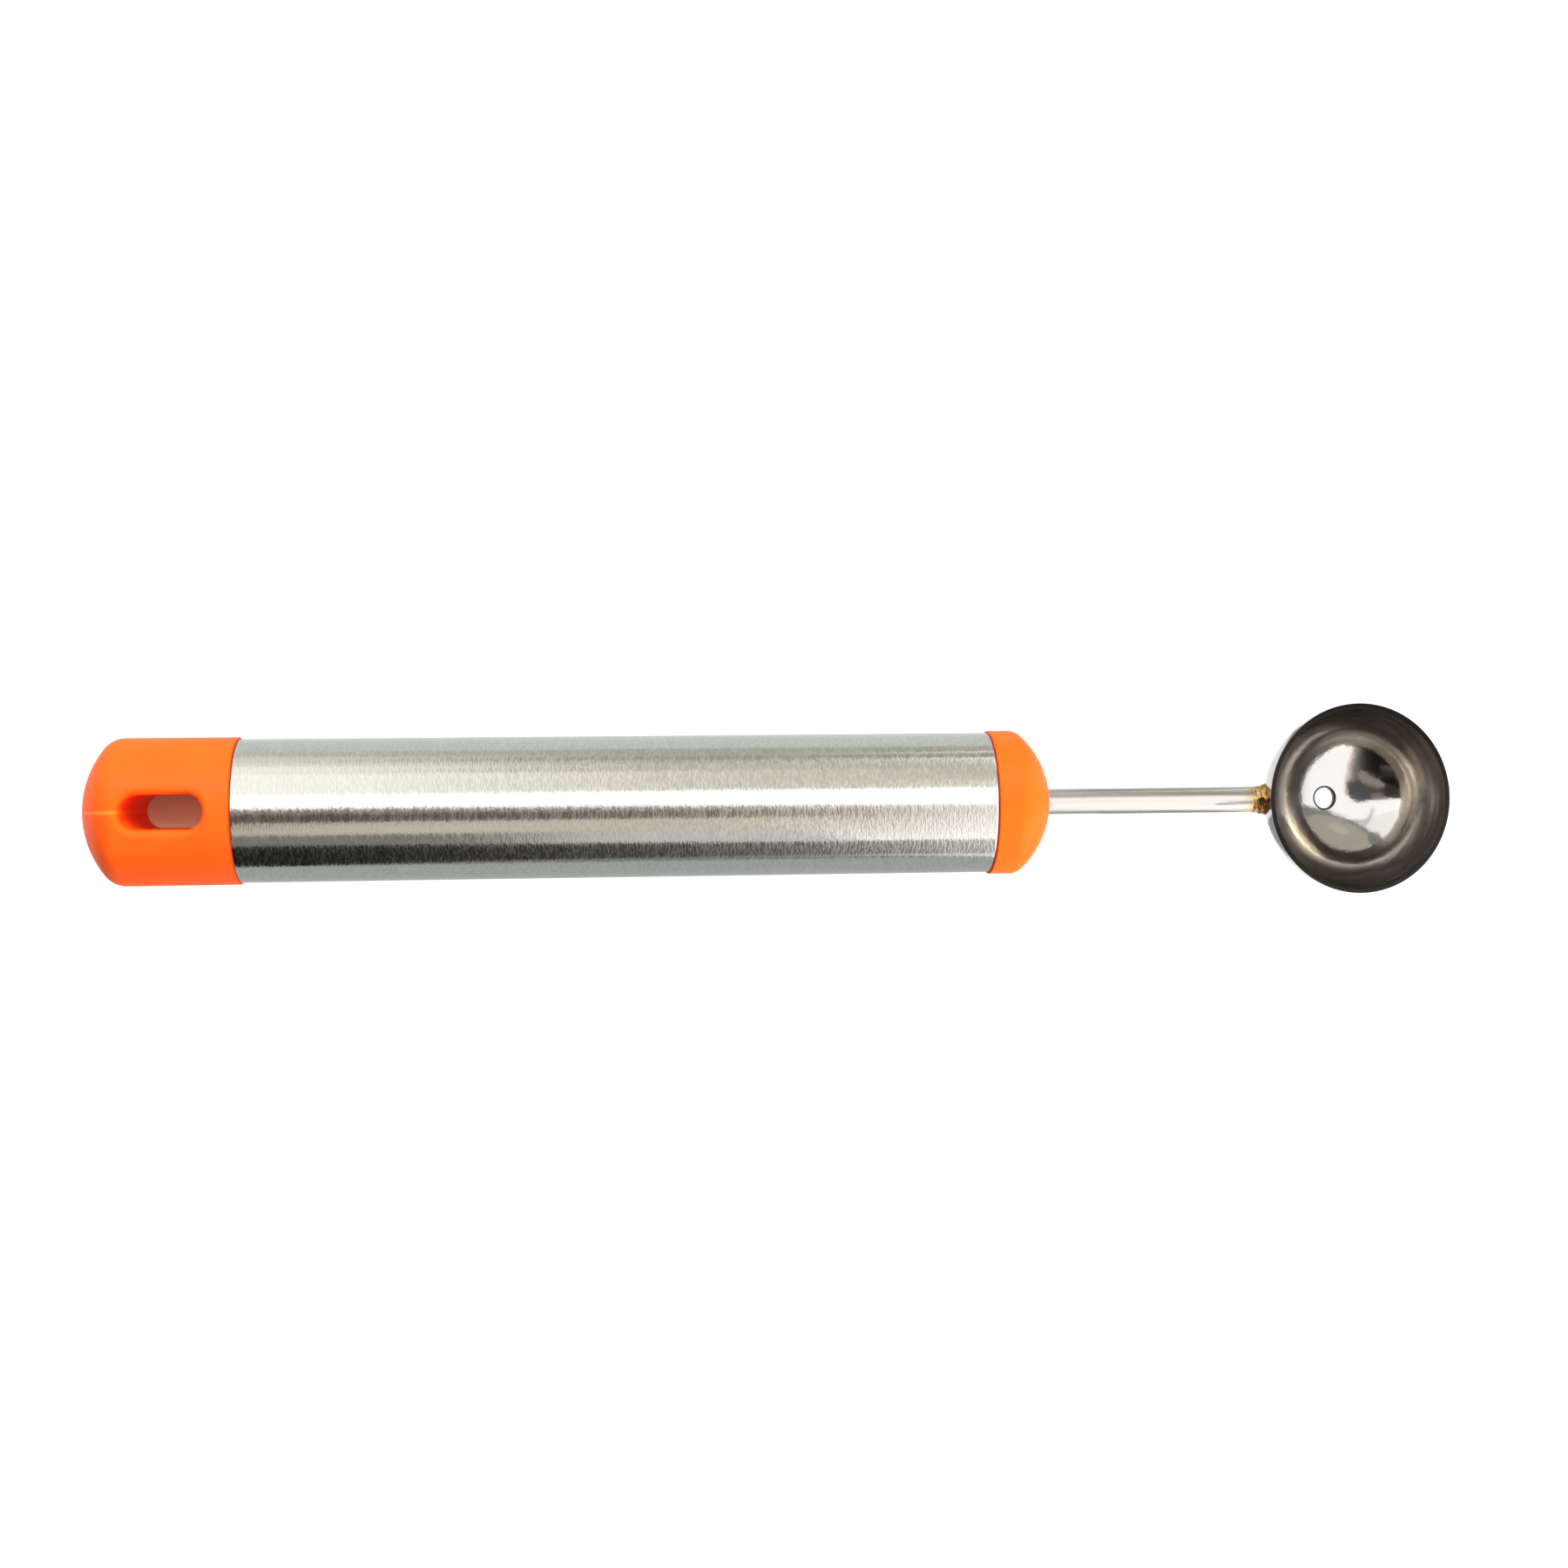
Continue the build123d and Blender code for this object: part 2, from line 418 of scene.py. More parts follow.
def heat_tint(sheet, share, steel):
    """Colours of hot steel: plain at 0, then straw, gold, brown and dark at 1."""
    stops = [
        (0.0, steel),
        (0.28, (0.53, 0.47, 0.35)),
        (0.48, (0.52, 0.34, 0.11)),
        (0.68, (0.34, 0.16, 0.04)),
        (0.86, (0.12, 0.045, 0.016)),
        (1.0, (0.03, 0.016, 0.01)),
    ]
    return sheet.ramp(share, stops)


def rod_steel(looks):
    """Drawn wire with fine lines along it and a heat tint where it is welded."""
    sheet = Sheet("drawn_rod_steel")
    place = sheet.place()
    lines = sheet.noise(sheet.stretch(place, (120, 5200, 5200)), 1.0, 3.0, 0.6)
    mottle = sheet.noise(place, 900, 3.0, 0.6)
    along = sheet.axis(place, "X")
    near = (along - (WELD_LOW.x - looks.tint_reach)) / (looks.tint_reach * 1.6)
    share = sheet.clamp(near * (0.72 + (mottle - 0.5) * 0.7))
    colour = heat_tint(sheet, share, tuple(looks.colour))
    colour = sheet.mix(lines * 0.35, colour, [c * 0.8 for c in looks.colour])
    roughness = looks.roughness + (lines - 0.5) * 0.16 + share * 0.12
    return sheet.principled(
        Base_Color=colour,
        Metallic=1.0,
        Roughness=roughness,
        Normal=sheet.bump(lines, 0.006 * MM, 0.35),
    )


class DressRod(bpy.types.Operator):
    """Gives the neck rod its drawn steel with the weld's heat tint"""

    bl_idname = "baller.dress_rod"
    bl_label = "Neck rod"

    def execute(self, context):
        dress("neck_rod", rod_steel(context.scene.baller_rod))
        return {"FINISHED"}


# Weld bead

BEAD_HEIGHT = (WELD_HIGH.y - WELD_LOW.y) / 2 - ROD_RADIUS
BEAD_SIDES, BEAD_ROWS = 96, 28
TOE_WANDER = 0.35 * MM
ROD_GAP = 0.01 * MM
# The pit's place: along the bead, out from the rod, and round it from the side
PIT_ALONG, PIT_OUT, PIT_TURN = 1.05 * MM, 0.10 * MM, radians(98)


class WeldSettings(bpy.types.PropertyGroup):
    ripple: FloatProperty(
        name="Ripple", description="Height of the bead's ripples", default=0.07 * MM, unit="LENGTH"
    )
    pit_depth: FloatProperty(
        name="Pit depth", description="Depth of the pit in the bead", default=0.28 * MM, unit="LENGTH"
    )
    pit_radius: FloatProperty(
        name="Pit radius", description="Radius of that pit", default=0.32 * MM, unit="LENGTH"
    )
    roughness: FloatProperty(name="Roughness", description="Mean roughness", default=0.26, subtype="FACTOR")


def round_rod(x, radius, turn):
    """A place at a radius and a turn round the rod's axis."""
    return (x, radius * cos(turn), AXIS_HEIGHT + radius * sin(turn))


def wall_place(radius, turn):
    """Where a line along the rod, at a radius and a turn round it, meets the bowl's outer wall."""
    _, y, z = round_rod(0, radius, turn)
    return BOWL_CENTRE.x - sqrt(BOWL_RADIUS**2 - y**2 - (z - BOWL_CENTRE.z) ** 2)


def bead_section(looks, pit, turn):
    """One closed section of the bead, from its toe on the rod up to the bowl and back."""
    across, up = cos(turn), sin(turn)
    toe = WELD_LOW.x + TOE_WANDER * noise.noise(Vector((across, up, 0)) * 2.2)
    points = []
    for row in range(BEAD_ROWS + 1):
        share = row / BEAD_ROWS
        radius = ROD_RADIUS + ROD_GAP + BEAD_HEIGHT * share**1.8
        x = toe + (wall_place(radius, turn) - toe) * share
        ripple = noise.noise(Vector((x * 1400, across * 2.4, up * 2.4)))
        ripple += 0.6 * sin(share * 15 + 1.5 * across)
        radius += looks.ripple * ripple * sin(pi * share)
        reach = (Vector(round_rod(x, radius, turn)) - pit).length
        radius -= looks.pit_depth * exp(-((reach / looks.pit_radius) ** 2))
        points.append(round_rod(x, radius, turn))
    # the back lies on the bowl, and the bore on the rod
    for share in (0.66, 0.33, 0):
        radius = ROD_RADIUS + BEAD_HEIGHT * share
        points.append(round_rod(wall_place(radius, turn), radius, turn))
    return points


def weld_steel(looks, pit):
    """Blotchy heat-tinted steel, darkest in the pit and at the bowl, with painted shade on its −Y side."""
    sheet = Sheet("weld_steel")
    place = sheet.place()
    blotch = sheet.noise(place, 1500, 3.0, 0.6)
    fine = sheet.noise(place, 6000, 2.0, 0.5)
    along = (sheet.axis(place, "X") - WELD_LOW.x) / (WELD_HIGH.x - WELD_LOW.x)
    hollow = sheet.near(place, pit, looks.pit_radius * 1.15, looks.pit_radius * 0.6)
    # painted shade: the tint is darker towards −Y, the side away from the key light
    near = sheet.axis(place, "Y") / ROD_RADIUS
    share = 0.45 + along * 0.36 - near * 0.10 + (blotch - 0.5) * 1.1 + hollow * 1.3
    colour = heat_tint(sheet, sheet.clamp(share), (0.44, 0.39, 0.31))
    return sheet.principled(
        Base_Color=colour,
        Metallic=1.0 - hollow * 0.5,
        Roughness=looks.roughness + (fine - 0.5) * 0.3 + hollow * 0.3,
        Normal=sheet.bump(blotch, 0.04 * MM, 0.5),
    )


class MakeWeld(bpy.types.Operator):
    """Makes the weld bead between the rod and the bowl, with ripples and one pit"""

    bl_idname = "baller.make_weld"
    bl_label = "Weld bead"

    def execute(self, context):
        looks = context.scene.baller_weld
        pit = Vector(round_rod(WELD_LOW.x + PIT_ALONG, ROD_RADIUS + PIT_OUT, PIT_TURN))
        turns = [2 * pi * i / BEAD_SIDES for i in range(BEAD_SIDES)]
        piece = skin("rippled_weld", [bead_section(looks, pit, turn) for turn in turns])
        stand_for(piece, "weld_bead", weld_steel(looks, pit))
        return {"FINISHED"}


# Scoop bowl

BOWL_SIDES, WALL_STEPS, RIM_STEPS = 288, 110, 5
RIM_END = 0.6  # degrees under the rim, where its rounding starts
# Heights and places on the bowl, in axes in which its rim is level. The painted side shade and the painted
# sheen at the knuckle, where the base turns up, are bounded by planes that lean towards the rod; the painted
# sickle highlight lies between two heights.
BASE_LEAN = 0.217
KNUCKLE_LOW, KNUCKLE_HIGH = -9.8 * MM, -7.9 * MM
SICKLE_LOW, SICKLE_HIGH = -5.4 * MM, -4.1 * MM
RIM_EDGE = -0.09 * MM
# Places of painted highlights and of a painted dark reflection: centre, radius and softness
SIDE_HIGHLIGHT = (Vector((10.0, 2.0, -6.6)) * MM, 4.4 * MM, 3.0 * MM)
FRONT_HIGHLIGHT = (Vector((-4.0, -5.3, -10.0)) * MM, 3.2 * MM, 2.2 * MM)
SICKLE_HIGHLIGHT_PLACE = (Vector((10.6, 4.0, -4.8)) * MM, 3.1 * MM, 1.7 * MM)
DARK_REFLECTION_PLACE = (Vector((-6.8, 1.2, -9.8)) * MM, 3.4 * MM, 2.4 * MM)


class BowlSettings(bpy.types.PropertyGroup):
    wall: FloatProperty(name="Wall", description="Wall of the bowl", default=0.6 * MM, unit="LENGTH")
    tilt: FloatProperty(
        name="Tilt", description="Lean of the rim towards the tip", default=radians(4), subtype="ANGLE"
    )
    rim_round: FloatProperty(
        name="Rim rounding", description="Radius of the rim's edges", default=0.12 * MM, unit="LENGTH"
    )
    depth: FloatProperty(name="Depth", description="Depth at the vent", default=11.8 * MM, unit="LENGTH")
    base_radius: FloatProperty(
        name="Base radius", description="Radius of the flatter base", default=13.5 * MM, unit="LENGTH"
    )
    base_end: FloatProperty(
        name="Base end", description="Where the base starts to bend up",
        default=radians(35), subtype="ANGLE",
    )
    base_fade: FloatProperty(
        name="Base fade", description="How far it bends up", default=radians(45), subtype="ANGLE"
    )
    vent: FloatProperty(name="Vent", description="Diameter of the vent hole", default=3.0 * MM, unit="LENGTH")
    colour: FloatVectorProperty(
        name="Steel", description="Colour of the polished steel",
        default=(0.51, 0.50, 0.485), subtype="COLOR", size=3,
    )
    # Painted shade: the darker colour of the sides, which stands in for their darker reflections
    side_shade_colour: FloatVectorProperty(
        name="Side steel", description="Colour of the duller sides",
        default=(0.205, 0.18, 0.16), subtype="COLOR", size=3,
    )
    # Painted highlight: the colour of the painted sheen at the knuckle, on the sickle and in the sides'
    # streaks
    sheen_colour: FloatVectorProperty(
        name="Knuckle steel", description="Colour where the base turns up",
        default=(0.92, 0.84, 0.72), subtype="COLOR", size=3,
    )
    roughness: FloatProperty(name="Roughness", description="Mean roughness", default=0.10, subtype="FACTOR")
    waves: FloatProperty(
        name="Waves", description="Height of the pressed steel's waves", default=0.05 * MM, unit="LENGTH"
    )


def polished_steel(looks):
    """Polished steel with a bright base, sides darkened by painted shade and a rim painted near black.

    Faint rings from spinning and haze vary it, and it carries painted highlights and a painted dark
    reflection.
    """
    sheet = Sheet("polished_bowl_steel")
    sockets = {"Vector": sheet.place(), "Angle": -looks.tilt}
    place = sheet.add("ShaderNodeVectorRotate", {"rotation_type": "Y_AXIS"}, sockets)
    height = sheet.axis(place, "Z")
    rings = sheet.noise(sheet.stretch(place, (60, 60, 1500)), 1.0, 3.0, 0.6)
    haze = sheet.noise(place, 190, 4.0, 0.6)
    pits = sheet.noise(place, 1700, 2.0, 0.5)
    spotty = (haze - 0.5) * 0.5 + (rings - 0.5) * 0.25

    # painted shade: the rim's edge is painted near black
    rim = height.over(RIM_EDGE, 0.05 * MM)
    inside = sheet.near(place, (0, 0, 0), BOWL_RADIUS - looks.wall / 2, 0.08 * MM)
    side = height - sheet.axis(place, "X") * BASE_LEAN
    # the painted shade and sheen cover the sides above the knuckle
    wall = side.over(KNUCKLE_HIGH, 1.2 * MM) * (inside * 0.7 + 0.3)
    # painted highlight: a bright ring where the base turns up
    knuckle_sheen = side.over(KNUCKLE_LOW, 0.8 * MM) * (1 - side.over(KNUCKLE_HIGH, 1.0 * MM)) * inside
    # painted highlights: places where the knuckle sheen and the sides' streaks are brighter
    bright = sheet.near(place, *SIDE_HIGHLIGHT) + sheet.near(place, *FRONT_HIGHLIGHT)
    # painted highlight: a bright crescent on the inside
    sickle_highlight = height.over(SICKLE_LOW, 0.5 * MM) * (1 - height.over(SICKLE_HIGH, 0.6 * MM)) * inside
    sickle_highlight = sickle_highlight * sheet.near(place, *SICKLE_HIGHLIGHT_PLACE)
    # painted dark reflection on the left of the inside
    dark_reflection = sheet.near(place, *DARK_REFLECTION_PLACE) * inside
    # painted shade: a near-black ring round the vent hole's edge
    vent_edge_shade = sheet.near(sheet.stretch(place, (1, 1, 0)), (0, 0, 0), looks.vent / 2 + 0.19 * MM, 0.05 * MM)

    dark = [c * 0.90 for c in looks.colour]
    light = [min(c * 1.08, 1) for c in looks.colour]
    colour = sheet.mix(spotty + 0.5, dark, light)
    # painted shade on the sides, with painted sheen streaks along the spinning rings
    wall_sheen = bright * 0.10 + 0.09 + spotty * 0.5 + (rings - 0.5) * 0.9
    wall_sheen = sheet.mix(wall_sheen, looks.side_shade_colour, looks.sheen_colour)
    colour = sheet.mix(wall * (0.90 + spotty * 0.5), colour, wall_sheen)
    colour = sheet.mix(knuckle_sheen * (0.22 + bright * 0.9 + spotty * 1.2), colour, looks.sheen_colour)
    colour = sheet.mix(sickle_highlight, colour, looks.sheen_colour)
    colour = sheet.mix(dark_reflection * 0.6, colour, looks.side_shade_colour)
    colour = sheet.mix(vent_edge_shade, colour, (0.03, 0.028, 0.027))
    colour = sheet.mix(rim, colour, (0.025, 0.022, 0.02))
    roughness = looks.roughness + (haze - 0.5) * 0.10 + (pits - 0.5) * 0.04 + wall * 0.13 + rim * 0.25
    return sheet.principled(
        Base_Color=colour,
        Metallic=1.0,
        Roughness=roughness,
        Normal=sheet.bump(rings, 0.004 * MM, 0.3, sheet.bump(haze, looks.waves, 1.0)),
    )


class MakeBowl(bpy.types.Operator):
    """Makes the polished half ball, with its ground rim and vent hole"""

    bl_idname = "baller.make_bowl"
    bl_label = "Scoop bowl"

    def execute(self, context):
        looks = context.scene.baller_bowl
        outer, inner, rim = BOWL_RADIUS, BOWL_RADIUS - looks.wall, looks.rim_round
        # angles of the outline, in degrees from the level of the rim
        outer_vent = degrees(asin(looks.vent / 2 / outer)) - 90
        inner_vent = degrees(asin(looks.vent / 2 / inner)) - 90
        outline = arc((0, 0), outer, outer_vent, -RIM_END, WALL_STEPS)
        outline += arc((outer - rim, -rim), rim, 0, 90, RIM_STEPS)
        outline += arc((inner + rim, -rim), rim, 90, 180, RIM_STEPS)
        shares = [i / WALL_STEPS for i in range(WALL_STEPS + 1)]
        outline += [self.inner_face(looks, inner, -RIM_END + (inner_vent + RIM_END) * k) for k in shares]
        outline += run(outline[-1], outline[0], 4)
        piece = lathe("polished_bowl", outline, BOWL_SIDES)
        piece.data.transform(Matrix.Rotation(looks.tilt, 4, "Y"))
        piece.location = BOWL_CENTRE
        stand_for(piece, "scoop_bowl", polished_steel(looks))
        return {"FINISHED"}

    def inner_face(self, looks, inner, turn):
        """A place on the inner face, which the press leaves flatter round the vent."""
        down = radians(turn + 90)
        rise = looks.base_radius - looks.depth
        base = sqrt(looks.base_radius**2 - (rise * sin(down)) ** 2) - rise * cos(down)
        share = min(max((down - looks.base_end) / looks.base_fade, 0), 1)
        share = share * share * (3 - 2 * share)
        radius = base + (inner - base) * share
        return (radius * sin(down), -radius * cos(down))


# Stage

# The fitted camera's focal length and the photo's width, both in the photo's pixels
FOCAL_PIXELS, PHOTO_PIXELS = 2352.7, 1800


class StageSettings(bpy.types.PropertyGroup):
    floor: FloatVectorProperty(
        name="Floor", description="Colour of the floor", default=(0.18, 0.18, 0.18), subtype="COLOR", size=3
    )
    # Base colour of the floor in the painted shadow under the rear cap
    floor_below: FloatVectorProperty(
        name="Floor below", description="Colour under the rear cap",
        default=(0.60, 0.60, 0.58), subtype="COLOR", size=3,
    )
    # Painted light: the faint orange glow in the painted shadow under the rear cap
    painted_glow_below: FloatVectorProperty(
        name="Glow below", description="Light that the cap lets through",
        default=(0.13, 0.068, 0.038), subtype="COLOR", size=3,
    )
    floor_glow: FloatProperty(
        name="Floor glow", description="Light that comes through the floor", default=0.94
    )
    floor_side: FloatProperty(
        name="Floor side", description="Side of the square floor", default=8.0, unit="LENGTH"
    )
    backdrop: FloatProperty(name="Backdrop", description="Glow of the pale backdrop", default=1.0, min=0)
    sky: FloatProperty(name="Sky", description="Strength of the even light", default=0.32)
    key: FloatProperty(name="Key light", description="Power of the soft key light", default=7.2, unit="POWER")
    fill: FloatProperty(name="Fill light", description="Power of the fill light", default=0.6, unit="POWER")
    camera_height: FloatProperty(
        name="Camera height", description="Camera above the handle's axis",
        default=269.23 * MM, unit="LENGTH",
    )
    camera_along: FloatProperty(
        name="Camera along", description="Camera from the rear end of the tube",
        default=45.95 * MM, unit="LENGTH",
    )
    camera_aside: FloatProperty(
        name="Camera aside", description="Camera beside the handle's axis", default=2.28 * MM, unit="LENGTH"
    )
    camera_turn: FloatVectorProperty(
        name="Camera turn",
        description="Turns of the camera from straight down",
        default=(radians(-0.094), radians(5.147), radians(0.611)),
        subtype="EULER",
    )
    focal_share: FloatProperty(
        name="Focal share", description="Focal length as a share of the picture's width",
        default=FOCAL_PIXELS / PHOTO_PIXELS,
    )


# The cards that shiny surfaces see: how far they reach, and how high they are
FAR = 2.6
HIGH, CEILING_LAYER = 0.46, 2 * MM
TABLE = 0.02 * MM
OVER_ROD = 14 * MM
OVER_BOWL, BOWL_LAYER = 25 * MM, 0.05 * MM
FENCE_RUN = 0.7  # how far aside a fence runs for each metre towards the handle


def hung(layer):
    """Height of a card under the ceiling; a higher layer hangs under the others."""
    return HIGH - layer * CEILING_LAYER


def level(x0, x1, y0, y1, z):
    """Corners of a level card."""
    return [(x0, y0, z), (x1, y0, z), (x1, y1, z), (x0, y1, z)]


def upright(x0, x1, y, top):
    """Corners of an upright card that runs along X."""
    return [(x0, y, 0), (x1, y, 0), (x1, y, top), (x0, y, top)]


def flat(points, z):
    """Corners of a level card with an outline of its own."""
    return [(x, y, z) for x, y in points]


def over_bowl(points, layer=0):
    """Corners of a level card just over the bowl; a higher layer hangs under the others."""
    return flat(points, OVER_BOWL - layer * BOWL_LAYER)


def fence(x0, x1, near_slope, far_slope):
    """Corners of an upright card that is edge on to the bowl.

    From the handle it fills the view between two slopes, given as run over rise.
    """
    corners = []
    for x, slope in ((x0, far_slope), (x1, far_slope), (x1, near_slope), (x0, near_slope)):
        y = -FENCE_RUN * (BOWL_CENTRE.x - x)
        corners.append((x, y, AXIS_HEIGHT - y / slope))
    return corners


# Outlines of the cards that are no rectangles
SHADE = [(-0.30, -0.19), (0.12, -0.19), (0.12, -0.03), (0.0, 0.0), (-0.08, 0.02), (-0.30, 0.02)]
SHADE_EDGE = [(-0.30, 0.02), (-0.08, 0.02), (0.0, 0.0), (0.12, -0.03)]
SHADE_EDGE += [(0.12, -0.06), (0.0, -0.045), (-0.30, -0.04)]
BEIGE = [(0.17, 0.36), (0.39, 0.24), (0.74, 0.27), (FAR, 0.40), (FAR, 0.75), (0.17, 0.75)]
TABLE_FRONT = [(-FAR, -0.08), (-0.075, -0.083), (-0.02, -0.10)]
TABLE_FRONT += [(0.045, -0.10), (0.045, -0.0095), (-FAR, -0.0095)]
TABLE_MIDDLE = [(-0.075, -0.083), (-0.05, -0.16), (-0.02, -0.49)]
TABLE_MIDDLE += [(0.045, -0.49), (0.045, -0.10), (-0.02, -0.10)]
PATCH_EDGE = [(0.109, 0.0031), (0.096, 0.0038), (0.088, 0.0042), (0.080, 0.0081), (0.073, 0.0140)]
PATCH_BACK = [(0.066, 0.0206), (0.051, 0.042), (0.060, 0.075), (0.10, 0.060), (0.13, 0.035), (0.14, 0.003)]
PATCH_BEAM = [(0.0732, 0.0165), (0.0785, 0.0106), (0.0866, 0.0066), (0.095, 0.0068), (0.107, 0.0095)]
PATCH_END = [(0.0735, 0.0138), (0.0725, 0.024), (0.066, 0.043)]
PATCH_END += [(0.050, 0.046), (0.051, 0.042), (0.066, 0.0206)]
PATCH_GLEAM = [(0.087, 0.0088), (0.082, 0.0110), (0.081, 0.0150), (0.086, 0.0155), (0.090, 0.0118)]
PATCH_LINE = [(0.0738, 0.0108), (0.0713, 0.0040), (0.0702, 0.0040), (0.0728, 0.0112)]
LENS = [(0.0772, -0.0099), (0.0745, -0.0108), (0.0704, -0.0085), (0.0640, -0.0064)]
LENS += [(0.0640, -0.0046), (0.0701, -0.0040), (0.0735, -0.0050), (0.0758, -0.0067)]
COAT = [(0.0647, -0.0185), (0.0500, -0.0270), (0.0430, -0.0240), (0.0612, -0.0143), (0.0655, -0.0148)]
DARK = [(0.0690, -0.0080), (0.0680, -0.0115), (0.0440, -0.0270), (0.0400, -0.0290), (0.0400, -0.0180)]
SLEEVE = [(0.0808, -0.0056), (0.0763, -0.0058), (0.0726, -0.0035), (0.0707, -0.0004)]
SLEEVE += [(0.0727, 0.0010), (0.0766, 0.0013), (0.0791, -0.0004)]
ROD_SHEEN = [(0.036, -0.0009), (0.0585, -0.0009), (0.0595, -0.0060)]
ROD_SHEEN += [(0.0600, -0.0105), (0.0550, -0.0220), (0.036, -0.0220)]

# The cards: corners, colour and strength. The steel's bands ask for a white ceiling, with beige
# and dark cards under it. The cards just over the bowl are out of the handle's view.
CARDS = {
    "white_ceiling": (level(-FAR, FAR, -FAR, FAR, HIGH), (1.0, 0.99, 0.98), 1.9),
    "white_left": (level(-FAR, -0.09, 0.20, 0.75, hung(1)), (1.0, 0.985, 0.95), 1.65),
    "cream_middle": (level(-0.09, -0.01, 0.21, 0.75, hung(1)), (1.0, 0.97, 0.90), 1.15),
    "beige_near": (level(-0.01, 0.16, 0.21, 0.75, hung(1)), (0.97, 0.93, 0.81), 0.92),
    "beige_back": (flat(BEIGE, hung(2)), (1.0, 0.90, 0.74), 0.62),
    "white_far": (level(-FAR, -0.14, 0.75, FAR, hung(1)), (1.0, 0.98, 0.92), 1.6),
    "beige_far": (level(-0.14, 0.40, 0.75, FAR, hung(1)), (1.0, 0.96, 0.84), 0.74),
    "white_end": (level(-FAR, -0.14, 1.5, FAR, hung(2)), (1.0, 0.98, 0.92), 1.25),
    "beige_end": (level(-0.14, 0.40, 1.5, FAR, hung(2)), (1.0, 0.97, 0.85), 0.58),
    "brown_shade": (flat(SHADE, hung(2)), (0.90, 0.74, 0.63), 1.9),
    "shade_edge": (flat(SHADE_EDGE, hung(3)), (0.93, 0.80, 0.72), 1.9),
    "dark_left": (level(-FAR, -0.30, -0.19, 0.02, hung(2)), (0.85, 0.72, 0.62), 0.07),
    "dark_side": (level(-FAR, 0.12, -FAR, -0.19, hung(2)), (0.92, 0.78, 0.72), 1.9),
    "grey_strip": (fence(-0.16, 0.015, 0.34, 0.80), (0.98, 0.90, 0.78), 0.84),
    "dull_strip": (fence(-0.16, -0.035, 0.80, 1.50), (0.95, 0.90, 0.82), 0.30),
    "dull_strip_end": (fence(-0.035, 0.015, 0.80, 1.50), (1.0, 0.96, 0.92), 0.82),
    "black_wall": (upright(-FAR, 0.185, -0.5, 0.28), (1.0, 0.97, 0.93), 1.7),
    "white_wall": (upright(0.185, FAR, -0.5, 0.30), (1.0, 0.97, 0.93), 2.6),
    "cream_wall": (upright(-FAR, -0.30, FAR, HIGH), (1.0, 0.98, 0.93), 1.15),
    "beige_wall": (upright(-0.30, FAR, FAR, HIGH), (1.0, 0.97, 0.85), 0.52),
    "table_front": (flat(TABLE_FRONT, TABLE), (0.93, 1.0, 0.97), 0.55),
    "table_middle": (flat(TABLE_MIDDLE, TABLE), (0.93, 1.0, 0.95), 0.30),
    "table_dark": (level(-FAR, 0.045, -FAR, -0.05, TABLE / 2), (0.93, 1.0, 0.90), 0.01),
    "table_back": (level(-FAR, 0.045, 0.0095, 0.055, TABLE), (0.93, 1.0, 0.97), 0.86),
    "desk_left": (level(-FAR, -0.12, 0.055, FAR, TABLE), (1.0, 0.985, 0.95), 1.15),
    "desk_right": (level(-0.12, 0.045, 0.055, FAR, TABLE), (1.0, 0.98, 0.86), 1.15),
    "table_neck": (level(0.045, 0.070, 0.012, FAR, TABLE), (1.0, 0.96, 0.88), 0.55),
    "table_rod": (level(0.045, 0.066, -0.045, -0.004, TABLE), (0.96, 0.98, 1.0), 0.50),
    "bowl_patch": (over_bowl(PATCH_EDGE + PATCH_BACK), (1.0, 0.93, 0.80), 0.68),
    "patch_gleam": (over_bowl(PATCH_GLEAM, 1), (1.0, 0.94, 0.84), 0.82),
    "patch_beam": (over_bowl(PATCH_EDGE + PATCH_BEAM, 2), (0.98, 1.0, 0.98), 0.38),
    "patch_end": (over_bowl(PATCH_END, 3), (0.97, 1.0, 0.94), 0.36),
    "patch_line": (over_bowl(PATCH_LINE, 1), (1.0, 0.98, 0.93), 0.70),
    "lens_blob": (over_bowl(LENS, 1), (1.0, 0.92, 0.78), 0.44),
    "coat_dark": (over_bowl(DARK), (1.0, 0.95, 0.90), 0.04),
    "coat_blob": (over_bowl(COAT, 1), (1.0, 0.92, 0.85), 0.10),
    "sleeve_blob": (over_bowl(SLEEVE), (0.96, 0.92, 1.0), 0.14),
    "rod_sheen": (flat(ROD_SHEEN, OVER_ROD), (1.0, 0.99, 0.97), 1.9),
}
# Cards that fade along X: where they have their full strength, over what length, and to what
FADING = {
    "black_wall": (0.185, 0.060, 0.0),
    "brown_shade": (0.12, 0.044, 0.15),
    "shade_edge": (0.12, 0.050, 0.36),
    "dark_side": (0.12, 0.058, 0.012),
    "desk_right": (-0.12, -0.045, 0.58),
}


def glossy_only(card):
    """Only shiny surfaces see this card, so it neither lights nor shades the rest."""
    card.visible_camera = False
    card.visible_diffuse = False
    card.visible_transmission = False
    card.visible_volume_scatter = False
    card.visible_shadow = False


def only_in_view(card):
    """Only the camera sees this sheet, so it changes no light."""
    glossy_only(card)
    card.visible_glossy = False
    card.visible_camera = True


def sheet_of(name, corners, material):
    """One flat sheet of the stage."""
    mesh = bpy.data.meshes.new(name)
    mesh.from_pydata([tuple(c) for c in corners], [], [tuple(range(len(corners)))])
    card = bpy.data.objects.new(name, mesh)
    mesh.materials.append(material)
    bpy.context.scene.collection.objects.link(card)
    return card


def card_glow(name, colour, strength):
    """A card's even glow, or one that fades along X."""
    sheet = Sheet(name)
    if name in FADING:
        full, reach, least = FADING[name]
        along = (sheet.axis(sheet.place(), "X") - full) / reach
        strength = along.maths("EXPONENT", along) * (strength - least) + least
    return sheet.glow(colour, strength)


